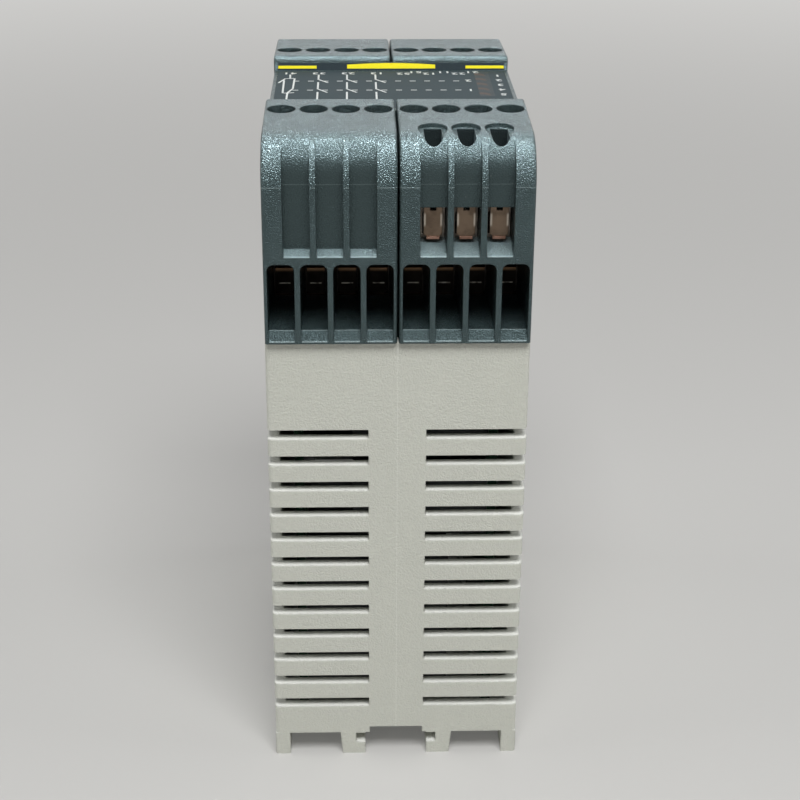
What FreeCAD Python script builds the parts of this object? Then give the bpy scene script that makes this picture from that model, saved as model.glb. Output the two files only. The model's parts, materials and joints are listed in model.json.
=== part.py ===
import FreeCAD, Part
import os
from math import asin, cos, pi, radians, sin, sqrt, tan

from FreeCAD import Vector

# Safety relay for a 35 mm top-hat rail, in millimetres. X is its width, Y its height on the wall and
# Z its depth: it stands on the feet of its rail side (Z = 0), the front faces up.
# The end with -Y is called near, the end with +Y far.

# Housing
width = 45.0
length = 82.0
wall = 2.0
base_underside = 4.67
base_thickness = 2.4
housing_top = 83.8
corner_radius = 0.8

# Ventilation slots in the end faces
slot_count = 12
slot_height = 1.75
top_slot_drop = 18.2
lowest_slot_z = 10.6
slot_inner_x = 5.0
slot_side_reach = 6.0

# Feet, rail seat and latch guide
rail_width = 35.0
rail_lip = 1.0
rail_clearance = 0.2
hook_reach = 1.8
hook_height = 1.55
outer_foot_width = 2.7
inner_foot_width = 4.7
foot_taper = 0.45
foot_chamfer = 0.35
guide_half_width = 5.7
guide_notch_depth = 1.75
guide_notch_z = 2.5
guide_notch_height = 2.0
guide_relief_half_width = 4.9
guide_relief_depth = 1.23

# Latch
guide_clearance = 0.2
latch_bottom = 1.4
latch_overhang = 0.8
wing_start_gap = 1.2
wing_end_gap = 2.1
spring_pocket_wall = 6.3
spring_pocket_half_width = 1.9
spring_stop_inset = 7.5
spring_stop_thickness = 1.6
stop_clearance = 0.3
spring_coil_radius = 1.3
spring_wire_radius = 0.25
spring_coil_pitch = 1.5
spring_axis_z = 3.3
driver_slot_width = 5.0
driver_slot_length = 1.6
driver_slot_inset = 1.8

# Front cover
cover_wall = 1.8
cover_clearance = 0.1
hood_inset = 0.35
hood_half_length = 15.6
hood_height = 33.2
ledge_height = 1.3
ledge_slope_run = 0.9
ledge_flat = 0.3
bay_floor_drop = 0.2
skirt_thickness = 1.5
skirt_depth = 3.0
skirt_start_gap = 8.4
skirt_end_gap = 4.9
foil_thickness = 0.25
foil_side_margin = 0.65
foil_end_margin = 1.6
window_width = 2.7
window_y = 3.9
window_length = 18.8
led_count = 5
led_end_margin = 2.0
light_pipe_radius = 0.9
light_pipe_gap = 0.2
led_height = 1.5
led_length = 2.0

# Plug-in terminal blocks, u is the distance from the middle of the relay along Y
plug_gap = 0.3
plug_side_inset = 0.1
plug_overhang = 1.0
plug_height = 35.62
plug_top_slope = 2.5
plug_corner_radius = 8.0
plug_inner_radius = 1.2
plug_edge_radius = 0.5
pole_count = 4
pole_margin = 0.125
driver_hole_inset = 6.8
driver_hole_web = 0.64

# Wire entries of the lower level
entry_rib = 0.94
entry_lip = 0.4
entry_height = 13.7
entry_corner = 1.2
entry_bevel_rise = 1.75
entry_bevel_run = 1.1
entry_straight = 8.0
throat_width = 3.3
throat_drop = 4.3

# Channels between the ribs of the face
channel_rib = 1.0
channel_depth = 1.95
channel_sill_height = 15.4
channel_sill_rise = 0.4
channel_break = 4.7
channel_bend_drop = 6.92

# Clamp of one pole
pole_wall = 1.3
cage_length = 5.0
cage_leg = 0.45
cage_floor = 0.7
bar_thickness = 0.8
lower_bar_height = 2.4
cage_window = 7.1
cage_bridge = 2.4
plate_thickness = 0.8
plate_clearance = 0.1
plate_flange = 0.7
plate_flange_height = 4.7
plate_bevel_run = 0.45
plate_bevel_rise = 0.6
plate_overlap = 0.3
flange_clearance = 0.2
screw_head_inset = 0.2
screw_head_rim = 0.45
screw_clearance = 0.05
screw_head_height = 1.6
screw_head_gap = 0.4
screw_head_room = 1.2
screw_slot = 0.6
pocket_clearance = 0.1
flange_room = 0.5

# Upper level of the near right plug
upper_screw_inset = 8.8
upper_plate_inset = 3.3
upper_bar_height = 17.45
upper_bar_thickness = 0.45
upper_bar_width = 2.15
upper_cage_window = 3.2
upper_cage_bridge = 1.6
upper_travel = 1.6
upper_recess_drop = 1.37
upper_recess_front = 4.6
upper_shaft_width = 2.95
upper_shaft_back = 1.5
upper_shaft_front = 5.2
upper_window_height = 23.3
upper_flange_height = 5.3
upper_notch_width = 1.0
upper_notch_depth = 0.85
upper_head_gap = 0.3

# Header strips and pins
pin_side = 1.0
pin_inset = 2.5
pin_height = 7.7
pin_tail = 0.8
socket_wall = 0.55
socket_clearance = 0.15
socket_drop = 1.2
socket_rise = 1.0
strip_width = 3.4
strip_margin = 0.25
strip_gap = 0.1
upper_pin_side = 0.6
upper_pin_inset = 12.7
upper_pin_gap = 0.2
upper_strip_width = 2.4
upper_strip_margin = 1.2
upper_socket_wall = 0.4
upper_socket_depth = 2.6

# Circuit boards and what they carry
board_thickness = 1.6
board_top_drop = 7.8
board_end_space = 2.0
board_side_gap = 0.2
board_end_gap = 0.4
board_inner_gap = 0.1
power_board_space = 2.5
relay_board_space = 2.7
guide_rib_height = 2.0
guide_rib_thickness = 1.0
guide_rib_length = 40.0
guide_rib_clearance = 0.1
display_tongue_drop = 6.4
display_tongue_start = -7.0
display_tongue_end = 13.3
part_spacing = 4.0
transformer_gap = 6.6
transformer_edge_gap = 2.0
transformer_free_length = 41.0
transformer_z = 11.0
transformer_rounding = 1.0
relay_gap = 8.6
relay_edge_gap = 1.0
relay_free_length = 34.0
relay_thickness = 13.0
relay_rounding = 0.6
relay_drops = (32.0, 16.5)
standing_relay_z = 20.0
capacitor_radius = 7.0
capacitor_gap = 7.6
capacitor_z = (18.0, 36.0)
capacitor_edge_gap = 0.5
groove_radius = 1.0
groove_depth = 0.4
groove_height = 3.5
fuse_radius = 4.2
fuse_height = 8.0
fuse_spacing = 2.8
fuse_z = 14.0
rectifier_size = (7.0, 10.0, 4.0)
rectifier_drop = 26.0
rectifier_rounding = 0.4
chip_side = 10.0
chip_height = 1.2
chip_edge_gap = 2.0
chip_drops = (32.0, 16.0)

# Places and sizes across the width
half_width = width / 2
hood_half_width = half_width - hood_inset
foil_half_width = hood_half_width - foil_side_margin
inner_foot_outer = guide_half_width + inner_foot_width
plug_width = half_width - plug_side_inset - plug_gap / 2
plug_centre_x = plug_gap / 2 + plug_width / 2
pole_pitch = (plug_width - 2 * pole_margin) / pole_count
pole_offsets = [(i - (pole_count - 1) / 2) * pole_pitch for i in range(pole_count)]
channel_offsets = [(i - (pole_count - 2) / 2) * pole_pitch for i in range(pole_count - 1)]
driver_hole_diameter = pole_pitch - driver_hole_web
entry_width = pole_pitch - entry_rib
channel_width = pole_pitch - channel_rib
cage_width = pole_pitch - pole_wall
plate_width = cage_width - 2 * cage_leg - 2 * plate_clearance
screw_head_radius = cage_width / 2 - screw_head_inset
screw_radius = screw_head_radius - screw_head_rim
strip_half_length = pole_offsets[-1] + pin_side / 2 + strip_margin
upper_strip_half_length = channel_offsets[-1] + upper_pin_side / 2 + upper_strip_margin
power_board_x = wall + power_board_space - half_width
relay_board_x = half_width - wall - relay_board_space - board_thickness
window_x = relay_board_x + board_thickness / 2
board_distance = relay_board_x - power_board_x - board_thickness

# Places and sizes along the length
half_length = length / 2
foot_start = rail_width / 2 + rail_clearance
latch_end = half_length + latch_overhang
spring_pocket_start = foot_start + spring_pocket_wall
spring_stop_y = half_length - spring_stop_inset
spring_length = spring_stop_y - spring_pocket_start
foil_half_length = hood_half_length - foil_end_margin
led_pitch = (window_length - 2 * led_end_margin) / (led_count - 1)
plug_inner = hood_half_length + plug_gap
plug_face = half_length + plug_overhang
driver_hole_u = plug_inner + driver_hole_inset
pin_u = plug_inner + pin_inset
face_floor_u = plug_face - channel_depth
channel_break_u = plug_face - channel_break
upper_screw_u = plug_face - upper_screw_inset
upper_plate_u = plug_face - upper_plate_inset
upper_pin_u = plug_face - upper_pin_inset
cage_front = cage_length / 2 + flange_clearance
board_edge = half_length - wall - board_end_space
transformer_start = transformer_edge_gap - board_edge
transformer_length = 2 * board_edge - transformer_free_length
transformer_end = transformer_start + transformer_length
lying_relay_start = relay_edge_gap - board_edge
relay_length = 2 * board_edge - relay_free_length
standing_relay_start = lying_relay_start + relay_length + part_spacing

# Heights
base_top = base_underside + base_thickness
hook_top = base_underside - rail_lip - rail_clearance
top_slot_z = housing_top - top_slot_drop
slot_pitch = (top_slot_z - lowest_slot_z) / (slot_count - 1)
bay_floor_top = housing_top - bay_floor_drop
bay_floor_bottom = bay_floor_top - cover_wall
label_plane = housing_top + hood_height
plug_inner_top = housing_top + plug_height
entry_bottom = housing_top + entry_lip
entry_top = entry_bottom + entry_height
throat_top = entry_top - throat_drop
lower_bar_z = housing_top + lower_bar_height
pin_top = housing_top + pin_height
channel_sill_z = housing_top + channel_sill_height
channel_bend_z = plug_inner_top - channel_bend_drop
upper_bar_z = housing_top + upper_bar_height
upper_recess_z = plug_inner_top - upper_recess_drop
upper_window_top = housing_top + upper_window_height
board_height_top = housing_top - board_top_drop
terminal_board_top = board_height_top + board_thickness
upright_top = board_height_top - pin_tail - board_inner_gap
display_tongue_top = label_plane - display_tongue_drop
relay_z = [board_height_top - drop for drop in relay_drops]

# How far a cut runs past a face, right through the part, and what counts as no distance
past = 1.0
through = 60.0
same = 1e-6


def box(x, y, z):
    """A block between the two ends given on each axis."""
    low = Vector(min(x), min(y), min(z))
    return Part.makeBox(max(x) - min(x), max(y) - min(y), max(z) - min(z), low)


def rod(radius, start, end):
    """A cylinder from one point to another."""
    start, end = Vector(*start), Vector(*end)
    return Part.makeCylinder(radius, (end - start).Length, start, end - start)


def extruded(edges, direction):
    """The solid swept by a closed flat outline."""
    return Part.Face(Part.Wire(edges)).extrude(Vector(*direction))


def polygon(points):
    corners = [Vector(*p) for p in points]
    return [Part.LineSegment(a, b).toShape() for a, b in zip(corners, corners[1:] + corners[:1])]


def across(points, x0, x1):
    """A polygon of (u, z) points on the near side, extruded along X."""
    return extruded(polygon([(x0, -u, z) for u, z in points]), (x1 - x0, 0, 0))


def along(points, y0, y1):
    """A polygon of (x, z) points, extruded along Y."""
    return extruded(polygon([(x, y0, z) for x, z in points]), (0, y1 - y0, 0))


def fused(shapes):
    shapes = list(shapes)
    whole = shapes[0] if len(shapes) == 1 else shapes[0].fuse(shapes[1:])
    return whole.removeSplitter()


def turned(shape):
    """The same thing at the far end, half a turn about Z."""
    copy = shape.copy()
    copy.rotate(Vector(0, 0, 0), Vector(0, 0, 1), 180)
    return copy


def mirrored(shape):
    """The same thing on the left side."""
    return shape.mirror(Vector(0, 0, 0), Vector(1, 0, 0))


def housing_shell():
    """Right half of the box: side wall, end walls and base, open at the top and at the centre seam."""
    outer = box((0, half_width), (-half_length, half_length), (base_underside, housing_top))
    corners = [
        e for e in outer.Edges
        if abs(e.Vertexes[0].X - e.Vertexes[-1].X) < same
        and abs(e.Vertexes[0].Y - e.Vertexes[-1].Y) < same
        and e.Vertexes[0].X > past
    ]
    outer = outer.makeFillet(corner_radius, corners)
    inner = box((-past, half_width - wall), (wall - half_length, half_length - wall),
                (base_top, housing_top + past))
    return outer.cut(inner)


def slot_cutters():
    """The slots run from near the seam round the corner into the side wall, at both ends."""
    cutters = []
    for i in range(slot_count):
        z = top_slot_z - i * slot_pitch
        for side in (-1, 1):
            end = side * (half_length + past)
            across_end = box((slot_inner_x, half_width + past), (end, side * (half_length - wall - past)),
                             (z, z + slot_height))
            round_corner = box((half_width - wall - past, half_width + past),
                               (end, side * (half_length - slot_side_reach)), (z, z + slot_height))
            cutters += [across_end, round_corner]
    return cutters


def foot_profiles():
    """Outer foot and inner foot with the latch guide, as seen from the end."""
    outer = [
        (half_width - outer_foot_width, base_underside), (half_width, base_underside),
        (half_width, foot_chamfer), (half_width - foot_chamfer, 0),
        (half_width - outer_foot_width, 0),
    ]
    notch_x = guide_half_width + guide_notch_depth
    notch_top = guide_notch_z + guide_notch_height
    inner = [
        (inner_foot_outer, base_underside), (inner_foot_outer - foot_taper, 0),
        (guide_half_width, 0), (guide_half_width, guide_notch_z),
        (notch_x, guide_notch_z), (notch_x, notch_top),
        (guide_half_width, notch_top), (guide_half_width, base_underside),
    ]
    return outer, inner


def fixed_hooks():
    """Lips at the near side that reach under the rail's edge."""
    hooks = []
    for x0, x1 in ((half_width - outer_foot_width, half_width),
                   (guide_half_width, inner_foot_outer - foot_taper)):
        hooks.append(across(
            [(foot_start + past, hook_top - hook_height), (foot_start + past, hook_top),
             (foot_start - hook_reach, hook_top), (foot_start - hook_reach, hook_top - hook_height / 2),
             (foot_start, hook_top - hook_height)], x0, x1))
    return hooks


def board_guides(board_x):
    """A pair of ribs on the base that hold a board's lower edge."""
    inner_x = board_x - guide_rib_clearance
    outer_x = board_x + board_thickness + guide_rib_clearance
    span = (-guide_rib_length / 2, guide_rib_length / 2)
    height = (base_top, base_top + guide_rib_height)
    return [box((inner_x - guide_rib_thickness, inner_x), span, height),
            box((outer_x, outer_x + guide_rib_thickness), span, height)]


def spring_stop():
    """Post under the base that the latch spring pushes against."""
    return box((0, spring_pocket_half_width - guide_clearance),
               (spring_stop_y, spring_stop_y + spring_stop_thickness),
               (latch_bottom + guide_clearance, base_underside + guide_relief_depth))


def housing_half(board_x):
    shell = housing_shell()
    solids = [shell]
    for profile in foot_profiles():
        solids.append(along(profile, foot_start, half_length))
        solids.append(along(profile, -half_length, -foot_start))
    solids += fixed_hooks()
    solids += board_guides(board_x)
    half = fused(solids)
    relief = box((-past, guide_relief_half_width), (-half_length - past, half_length + past),
                 (base_underside - past, base_underside + guide_relief_depth))
    half = half.cut([relief] + slot_cutters())
    return half.fuse(spring_stop()).removeSplitter()


def din_latch():
    """Slider in the far guide: a nose under the rail's edge, wings in the notches and a pull tab."""
    body_x = guide_half_width - guide_clearance
    wing_x = guide_half_width + guide_notch_depth - guide_clearance
    wing_z = (guide_notch_z + guide_clearance, guide_notch_z + guide_notch_height - guide_clearance)
    body_top = wing_z[1]
    start = foot_start + guide_clearance
    body = box((-body_x, body_x), (start, latch_end), (latch_bottom, body_top))
    wings = box((-wing_x, wing_x), (foot_start + wing_start_gap, half_length - wing_end_gap), wing_z)
    nose = extruded(polygon([
        (-body_x, start, latch_bottom), (-body_x, start, hook_top),
        (-body_x, foot_start - hook_reach, hook_top),
        (-body_x, foot_start - hook_reach, hook_top - hook_height / 2),
    ]), (2 * body_x, 0, 0))
    slider = fused([body, wings, nose])
    pocket_end = spring_stop_y + spring_stop_thickness + stop_clearance
    pocket = box((-spring_pocket_half_width, spring_pocket_half_width),
                 (spring_pocket_start, pocket_end), (0, through))
    slot_end = latch_end - driver_slot_inset
    driver_slot = box((-driver_slot_width / 2, driver_slot_width / 2),
                      (slot_end - driver_slot_length, slot_end), (0, through))
    return slider.cut([pocket, driver_slot])


def latch_spring():
    """Compression coil between the pocket's end and the post."""
    height = spring_length - 2 * spring_wire_radius
    helix = Part.makeHelix(spring_coil_pitch, height, spring_coil_radius)
    section = Part.Wire(Part.makeCircle(spring_wire_radius, Vector(spring_coil_radius, 0, 0), Vector(0, 1, 0)))
    coil = Part.Wire(helix).makePipeShell([section], True, True)
    coil.rotate(Vector(0, 0, 0), Vector(1, 0, 0), -90)
    coil.translate(Vector(0, spring_pocket_start + spring_wire_radius, spring_axis_z))
    return coil


def front_cover():
    """Bay floors inside the housing's rim and a raised hood that carries the label."""
    inside_x = half_width - wall - cover_clearance
    inside_y = half_length - wall - cover_clearance
    floor = box((-inside_x, inside_x), (-inside_y, inside_y), (bay_floor_bottom, bay_floor_top))
    hood = box((-hood_half_width, hood_half_width), (-hood_half_length, hood_half_length),
               (housing_top, label_plane))
    neck = box((-inside_x, inside_x), (-hood_half_length, hood_half_length), (bay_floor_bottom, housing_top))
    ledge = extruded(polygon([
        (-hood_half_width, hood_half_length - ledge_flat - ledge_slope_run, label_plane),
        (-hood_half_width, hood_half_length - ledge_flat, label_plane + ledge_height),
        (-hood_half_width, hood_half_length, label_plane + ledge_height),
        (-hood_half_width, hood_half_length, label_plane),
    ]), (2 * hood_half_width, 0, 0))
    skirts = [
        box((side * (inside_x - skirt_thickness), side * inside_x),
            (end * (hood_half_length + skirt_start_gap), end * (inside_y - skirt_end_gap)),
            (bay_floor_bottom - skirt_depth, bay_floor_bottom))
        for side in (-1, 1) for end in (-1, 1)
    ]
    cover = fused([floor, neck, hood, ledge] + skirts)
    cavity = box((cover_wall - inside_x, inside_x - cover_wall),
                 (cover_wall - hood_half_length, hood_half_length - cover_wall),
                 (bay_floor_bottom - past, label_plane - cover_wall))
    foil_bed = box((-foil_half_width, foil_half_width), (-foil_half_length, foil_half_length),
                   (label_plane - foil_thickness, label_plane))
    cutters = [cavity, foil_bed]
    for y in led_positions():
        cutters.append(rod(light_pipe_radius + cover_clearance, (window_x, y, label_plane - cover_wall - past),
                           (window_x, y, label_plane)))
    for centre, end in plug_places():
        cutters += at_end(centre, end, header_opening)
    cutters += upper_header_opening(plug_centre_x)
    return cover.cut(cutters)


def label_foil():
    """Printed foil on the hood, with a cut-out for the indicator window."""
    foil = box((-foil_half_width, foil_half_width), (-foil_half_length, foil_half_length),
               (label_plane - foil_thickness, label_plane))
    return foil.cut(window_block(label_plane - foil_thickness, label_plane))


def window_block(low, high):
    return box((window_x - window_width / 2, window_x + window_width / 2),
               (window_y - window_length / 2, window_y + window_length / 2), (low, high))


def led_window():
    return window_block(label_plane - foil_thickness, label_plane)


def led_positions():
    return [window_y + (i - (led_count - 1) / 2) * led_pitch for i in range(led_count)]


def light_pipes():
    top = label_plane - foil_thickness
    low = display_tongue_top + led_height + light_pipe_gap
    return [rod(light_pipe_radius, (window_x, y, low), (window_x, y, top)) for y in led_positions()]


def leds():
    x = (relay_board_x, relay_board_x + board_thickness)
    return [box(x, (y - led_length / 2, y + led_length / 2),
                (display_tongue_top, display_tongue_top + led_height)) for y in led_positions()]


def plug_places():
    """Middle of each plug along X and the end that it faces."""
    return [(-plug_centre_x, -1), (plug_centre_x, -1), (-plug_centre_x, 1), (plug_centre_x, 1)]


def at_end(centre, end, build):
    """What build makes at the near end, at the given middle, or turned to the far end."""
    if end < 0:
        return build(centre)
    return [turned(s) for s in build(-centre)]


def top_height(u):
    """Height of a plug's sloping top at u."""
    return plug_inner_top - (u - plug_inner) * tan(radians(plug_top_slope))


def plug_block(centre):
    """Outline of a plug: flat bottom, upright faces, sloping top and a large outer corner."""
    x = centre - plug_width / 2
    slope = radians(plug_top_slope)
    r = plug_corner_radius
    middle_u = plug_face - r
    middle_z = top_height(middle_u) - r / cos(slope)
    arc_end = (middle_u + r * sin(slope), middle_z + r * cos(slope))
    arc_mid = (middle_u + r * sin(pi / 4), middle_z + r * cos(pi / 4))
    small = plug_inner_radius
    inner_turn = tan((pi / 2 - slope) / 2)
    inner_mid_z = top_height(plug_inner) - small / inner_turn
    inner_mid = (plug_inner + small, inner_mid_z)
    small_end = (inner_mid[0] + small * sin(slope), inner_mid[1] + small * cos(slope))
    small_mid = (inner_mid[0] - small * sin(pi / 4), inner_mid[1] + small * cos(pi / 4))

    def point(p):
        return Vector(x, -p[0], p[1])

    edges = [
        Part.LineSegment(point((plug_inner, housing_top)), point((plug_face, housing_top))).toShape(),
        Part.LineSegment(point((plug_face, housing_top)), point((plug_face, middle_z))).toShape(),
        Part.Arc(point((plug_face, middle_z)), point(arc_mid), point(arc_end)).toShape(),
        Part.LineSegment(point(arc_end), point(small_end)).toShape(),
        Part.Arc(point(small_end), point(small_mid), point((plug_inner, inner_mid_z))).toShape(),
        Part.LineSegment(point((plug_inner, inner_mid_z)), point((plug_inner, housing_top))).toShape(),
    ]
    block = extruded(edges, (plug_width, 0, 0))
    rims = [
        e for e in block.Edges
        if abs(e.BoundBox.XMin - e.BoundBox.XMax) < same and e.BoundBox.ZMax > housing_top + past
        and e.BoundBox.YMax < -plug_inner - same
    ]
    return block.makeFillet(plug_edge_radius, rims)


def wire_entry(x):
    """Mouth with round upper corners and a bevelled lip, tapering to the clamp."""
    half = entry_width / 2
    floor = entry_bottom + entry_bevel_rise
    y = -plug_face - past
    r = entry_corner
    k = r * (1 - sin(pi / 4))
    edges = [
        Part.LineSegment(Vector(x - half, y, floor), Vector(x + half, y, floor)).toShape(),
        Part.LineSegment(Vector(x + half, y, floor), Vector(x + half, y, entry_top - r)).toShape(),
        Part.Arc(Vector(x + half, y, entry_top - r), Vector(x + half - k, y, entry_top - k),
                 Vector(x + half - r, y, entry_top)).toShape(),
        Part.LineSegment(Vector(x + half - r, y, entry_top), Vector(x - half + r, y, entry_top)).toShape(),
        Part.Arc(Vector(x - half + r, y, entry_top), Vector(x - half + k, y, entry_top - k),
                 Vector(x - half, y, entry_top - r)).toShape(),
        Part.LineSegment(Vector(x - half, y, entry_top - r), Vector(x - half, y, floor)).toShape(),
    ]
    mouth = extruded(edges, (0, entry_straight + past, 0))
    bevel = across([
        (plug_face, entry_bottom), (plug_face + past, entry_bottom), (plug_face + past, floor + past),
        (plug_face - entry_bevel_run, floor + past), (plug_face - entry_bevel_run, floor),
    ], x - half, x + half)
    start_u = plug_face - entry_straight
    end_u = driver_hole_u + cage_length / 2
    throat = Part.makeLoft([
        section_wire(x, start_u, half, floor, entry_top),
        section_wire(x, end_u, throat_width / 2, lower_bar_z + bar_thickness, throat_top),
    ], True, True)
    return fused([mouth, bevel, throat])


def section_wire(x, u, half, low, high):
    return Part.Wire(polygon([(x - half, -u, low), (x + half, -u, low), (x + half, -u, high), (x - half, -u, high)]))


def lower_cage_space(x):
    """Room for a lower clamp: its cage, the plate's flange in front and the screw's head above."""
    half = cage_width / 2 + pocket_clearance
    head_z = lower_bar_z + bar_thickness + cage_window + cage_bridge + screw_head_gap
    front_u = driver_hole_u + cage_front + plate_flange + flange_room
    return box((x - half, x + half), (-front_u, -driver_hole_u + cage_length / 2 + pocket_clearance),
               (lower_bar_z - cage_floor, head_z + screw_head_height + screw_head_room))


def lower_pole_cutters(x):
    """Everything that is cut for one pole of the lower level."""
    space = lower_cage_space(x)
    hole = rod(driver_hole_diameter / 2, (x, -driver_hole_u, space.BoundBox.ZMax - past),
               (x, -driver_hole_u, plug_inner_top + past))
    pin_half = pin_side / 2 + socket_clearance
    pin_hole = pin_block(x, pin_u, pin_half, housing_top - past, lower_bar_z)
    socket_half = pin_half + socket_wall + pocket_clearance
    socket_space = box((x - socket_half, x + socket_half), (-driver_hole_u, -pin_u + socket_half),
                       (lower_bar_z - socket_drop, pin_top + socket_rise + pocket_clearance))
    return [wire_entry(x), hole, space, pin_hole, socket_space]


def corner_middle():
    """Centre of the plug's large outer corner."""
    u = plug_face - plug_corner_radius
    return u, top_height(u) - plug_corner_radius / cos(radians(plug_top_slope))


def channel(x):
    """One channel of the face: its floor leaves the corner, turns upright and ends in a sloping sill."""
    x0 = x - channel_width / 2
    corner_u, corner_z = corner_middle()
    top = corner_z + sqrt(plug_corner_radius ** 2 - (channel_break_u - corner_u) ** 2)
    run = face_floor_u - channel_break_u
    rise = top - channel_bend_z
    r = (run ** 2 + rise ** 2) / (2 * run)
    half_turn = asin(rise / r) / 2
    middle = (face_floor_u - r + r * cos(half_turn), channel_bend_z + r * sin(half_turn))
    beyond = plug_face + past
    above = plug_inner_top + past
    sill_z = channel_sill_z + channel_depth * channel_sill_rise

    def point(u, z):
        return Vector(x0, -u, z)

    floor = Part.Arc(point(channel_break_u, top), point(*middle), point(face_floor_u, channel_bend_z))
    corners = [
        point(face_floor_u, channel_bend_z), point(face_floor_u, sill_z), point(plug_face, channel_sill_z),
        point(beyond, channel_sill_z), point(beyond, above), point(channel_break_u, above),
        point(channel_break_u, top),
    ]
    edges = [Part.LineSegment(a, b).toShape() for a, b in zip(corners, corners[1:])]
    return extruded([floor.toShape()] + edges, (channel_width, 0, 0))


def plug_body(centre, upper_level=False):
    """Plug with four poles on its lower level, and channels above that are blind or hold three more poles."""
    cutters = []
    for offset in pole_offsets:
        cutters += lower_pole_cutters(centre + offset)
    for offset in channel_offsets:
        cutters.append(channel(centre + offset))
        if upper_level:
            cutters += upper_pole_cutters(centre + offset)
    return plug_block(centre).cut(cutters)


def contact(x):
    """Stamped contact of a lower pole: a socket for the header's pin and the bar that the wire lies on."""
    half = pin_side / 2 + socket_clearance
    socket = pin_block(x, pin_u, half + socket_wall, lower_bar_z - socket_drop, pin_top + socket_rise)
    neck_half = half + socket_wall
    height = (lower_bar_z, lower_bar_z + bar_thickness)
    neck = box((x - neck_half, x + neck_half), (-driver_hole_u, -pin_u), height)
    bar = box((x - plate_width / 2, x + plate_width / 2),
              (-driver_hole_u - cage_front - plate_flange, cage_length / 2 - driver_hole_u), height)
    return fused([socket, neck, bar]).cut(pin_block(x, pin_u, half, 0, 2 * through))


def cage(x, u, bar_z, bar_height, window, bridge):
    """Square clamp frame round the bar, with the thread in its bridge."""
    low = bar_z - cage_floor
    top = bar_z + bar_height + window + bridge
    frame = box((x - cage_width / 2, x + cage_width / 2), (-u - cage_length / 2, -u + cage_length / 2), (low, top))
    inside = cage_width / 2 - cage_leg
    opening = box((x - inside, x + inside), (-u - cage_length, -u + cage_length),
                  (bar_z, bar_z + bar_height + window))
    thread = rod(screw_radius + screw_clearance, (x, -u, bar_z), (x, -u, top + past))
    return frame.cut([opening, thread])


def pressure_plate(x, u, bar_top, front_u, flange_height, notch):
    """Plate under the screw, with a flange in front of the cage that guards the wire's way in."""
    half = plate_width / 2
    inner_u = u - cage_length / 2 + plate_overlap
    high = bar_top + flange_height
    foot = box((x - half, x + half), (-front_u, -inner_u), (bar_top, bar_top + plate_thickness))
    flange = box((x - half, x + half), (-front_u, plate_flange - front_u), (bar_top, high))
    cutters = flange_bevels(x, front_u, bar_top)
    if notch:
        cutters.append(box((x - upper_notch_width / 2, x + upper_notch_width / 2),
                           (-front_u - past, plate_flange - front_u + past), (high - notch, high + past)))
    return fused([foot, flange]).cut(cutters)


def flange_bevels(x, front_u, low):
    """What comes off the lower corners of a plate's flange."""
    half = plate_width / 2
    profile = [
        (half - plate_bevel_run, low), (half, low + plate_bevel_rise), (half + past, low + plate_bevel_rise),
        (half + past, low - past), (half - plate_bevel_run, low - past),
    ]
    return [along([(x + side * across_x, z) for across_x, z in profile], -front_u - past, plate_flange - front_u)
            for side in (-1, 1)]


def screw(x, u, tip_z, head_z):
    """Slotted clamping screw, thread simplified to its outer diameter."""
    shank = rod(screw_radius, (x, -u, tip_z), (x, -u, head_z))
    head = rod(screw_head_radius, (x, -u, head_z), (x, -u, head_z + screw_head_height))
    slot = box((x - screw_slot / 2, x + screw_slot / 2), (-u - through, -u + through),
               (head_z + screw_head_height / 2, head_z + screw_head_height + past))
    return fused([shank, head]).cut(slot)


def lower_clamps(centre):
    """Contacts, cages, plates and screws of a plug's four lower poles."""
    bar_top = lower_bar_z + bar_thickness
    front_u = driver_hole_u + cage_front + plate_flange
    tip = bar_top + plate_thickness
    head = bar_top + cage_window + cage_bridge + screw_head_gap
    places = [centre + offset for offset in pole_offsets]
    return {
        "contacts": [contact(x) for x in places],
        "cages": [cage(x, driver_hole_u, lower_bar_z, bar_thickness, cage_window, cage_bridge) for x in places],
        "pressure_plates": [pressure_plate(x, driver_hole_u, bar_top, front_u, plate_flange_height, 0)
                            for x in places],
        "screws": [screw(x, driver_hole_u, tip, head) for x in places],
    }


def upper_pole_cutters(x):
    """Everything that is cut for one pole of the upper level."""
    bar_top = upper_bar_z + upper_bar_thickness
    half = cage_width / 2 + pocket_clearance
    head_room = upper_travel + screw_head_height + 2 * upper_head_gap
    top = bar_top + upper_cage_window + upper_cage_bridge + head_room
    pocket = box((x - half, x + half),
                 (-upper_plate_u - flange_clearance, -upper_screw_u + cage_length / 2 + pocket_clearance),
                 (upper_bar_z - cage_floor, top))
    inner_u = upper_plate_u - flange_clearance
    sill_inner_z = channel_sill_z + (plug_face - inner_u) * channel_sill_rise
    window = across([
        (inner_u, sill_inner_z), (plug_face, channel_sill_z), (plug_face, upper_window_top),
        (inner_u, upper_window_top),
    ], x - half, x + half)
    pin_half = upper_pin_side / 2 + socket_clearance
    socket_half = pin_half + upper_socket_wall + pocket_clearance
    bar_half = upper_bar_width / 2 + pocket_clearance
    bar_space = box((x - bar_half, x + bar_half), (-upper_screw_u, -upper_pin_u + socket_half),
                    (upper_bar_z - upper_socket_depth, bar_top + pocket_clearance))
    pin_hole = pin_block(x, upper_pin_u, pin_half, housing_top - past, upper_bar_z)
    return [pocket, window, bar_space, pin_hole] + upper_access(x, top - past)


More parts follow.
